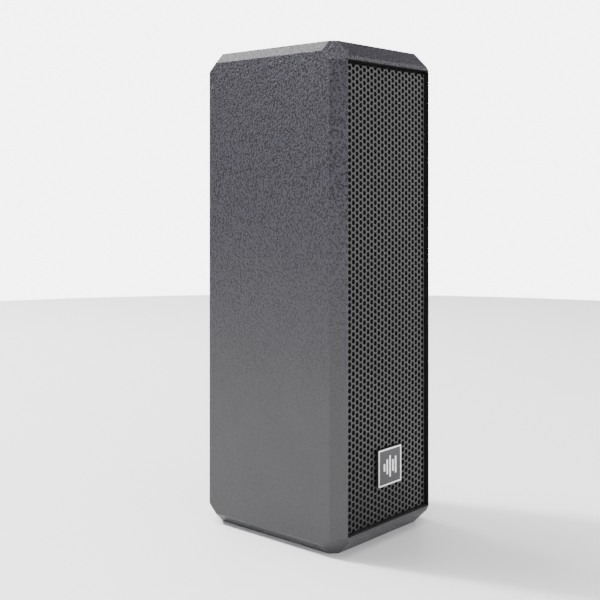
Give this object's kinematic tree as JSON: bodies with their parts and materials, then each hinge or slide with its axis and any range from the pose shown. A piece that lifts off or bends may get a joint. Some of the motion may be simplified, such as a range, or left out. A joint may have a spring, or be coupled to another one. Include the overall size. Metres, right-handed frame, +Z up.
{
  "type": "column loudspeaker",
  "caption": "Compact column loudspeaker: chamfered box with a perforated front grille, a line of small drivers behind it and a recessed terminal dish on the back.",
  "frame": {"origin": "centre of the base, on the surface it stands on", "axes": "+Z up, the grille faces -Y, +X is on the right when the grille is looked at"},
  "size_m": [0.151, 0.178, 0.465],
  "materials": {
    "cabinet_paint": "plywood under textured matt paint",
    "bare_wood": "raw plywood",
    "grille_paint": "satin powder coat",
    "foam_black": "open-cell foam",
    "wadding": "polyester wadding",
    "badge_face": "satin",
    "badge_metal": "brushed",
    "adhesive": "matt",
    "basket_steel": "black paint",
    "ferrite": "matt",
    "plated_steel": "zinc plate",
    "cone_paper": "coated paper",
    "dust_cap": "coated paper",
    "copper_wire": "enamelled copper",
    "suspension": "matt",
    "black_screw": "black oxide",
    "black_plastic": "moulded",
    "socket_plastic": "moulded",
    "insert_brass": "turned",
    "lamination": "varnished",
    "coil_tape": "tape",
    "red_wire": "insulation",
    "black_wire": "insulation"
  },
  "bodies": {
    "cabinet": {"left_side_panel": "cabinet_paint", "right_side_panel": "cabinet_paint", "top_panel": "cabinet_paint", "bottom_panel": "cabinet_paint", "back_panel": "cabinet_paint", "front_baffle": "bare_wood", "baffle_battens": "bare_wood", "damping_wadding": "wadding", "rigging_inserts": "insert_brass", "grille_sheet": "grille_paint", "grille_foam": "foam_black", "grille_edge_seal": "foam_black", "badge_pad": "adhesive", "badge_plate": "badge_face", "badge_emblem": "badge_metal", "driver_gaskets": "adhesive", "driver_screws": "black_screw", "terminal_dish": "black_plastic", "terminal_gasket": "adhesive", "input_socket": "socket_plastic", "link_socket": "socket_plastic", "socket_screws": "black_screw", "tap_selector_switch": "black_plastic", "tap_selector_nut": "plated_steel", "transformer_core": "lamination", "transformer_coil": "coil_tape", "transformer_clamp": "plated_steel", "panel_screws": "black_screw", "leads_red": "red_wire", "leads_black": "black_wire", "driver_1_basket": "basket_steel", "driver_1_magnet": "ferrite", "driver_1_motor_plates": "plated_steel", "driver_1_suspension": "suspension", "driver_2_basket": "basket_steel", "driver_2_magnet": "ferrite", "driver_2_motor_plates": "plated_steel", "driver_2_suspension": "suspension", "driver_3_basket": "basket_steel", "driver_3_magnet": "ferrite", "driver_3_motor_plates": "plated_steel", "driver_3_suspension": "suspension", "driver_4_basket": "basket_steel", "driver_4_magnet": "ferrite", "driver_4_motor_plates": "plated_steel", "driver_4_suspension": "suspension"},
    "driver_1_moving": {"driver_1_cone": "cone_paper", "driver_1_dust_cap": "dust_cap", "driver_1_voice_coil": "copper_wire"},
    "driver_2_moving": {"driver_2_cone": "cone_paper", "driver_2_dust_cap": "dust_cap", "driver_2_voice_coil": "copper_wire"},
    "driver_3_moving": {"driver_3_cone": "cone_paper", "driver_3_dust_cap": "dust_cap", "driver_3_voice_coil": "copper_wire"},
    "driver_4_moving": {"driver_4_cone": "cone_paper", "driver_4_dust_cap": "dust_cap", "driver_4_voice_coil": "copper_wire"},
    "tap_selector": {"tap_selector_shaft": "plated_steel", "tap_selector_knob": "black_plastic"}
  },
  "joints": [
    {"name": "driver_1_excursion", "type": "slide", "parent": "cabinet", "child": "driver_1_moving", "axis": [0, -1, 0], "range_m": [-0.003, 0.003], "stiffness_N_per_m": 1200, "deforming": ["driver_1_suspension"]},
    {"name": "driver_2_excursion", "type": "slide", "parent": "cabinet", "child": "driver_2_moving", "axis": [0, -1, 0], "range_m": [-0.003, 0.003], "stiffness_N_per_m": 1200, "deforming": ["driver_2_suspension"]},
    {"name": "driver_3_excursion", "type": "slide", "parent": "cabinet", "child": "driver_3_moving", "axis": [0, -1, 0], "range_m": [-0.003, 0.003], "stiffness_N_per_m": 1200, "deforming": ["driver_3_suspension"]},
    {"name": "driver_4_excursion", "type": "slide", "parent": "cabinet", "child": "driver_4_moving", "axis": [0, -1, 0], "range_m": [-0.003, 0.003], "stiffness_N_per_m": 1200, "deforming": ["driver_4_suspension"]},
    {"name": "tap_selector_turn", "type": "hinge", "parent": "cabinet", "child": "tap_selector", "pos_m": [0, 0.089, 0.084], "axis": [0, 1, 0], "range_deg": [-60, 60]}
  ]
}
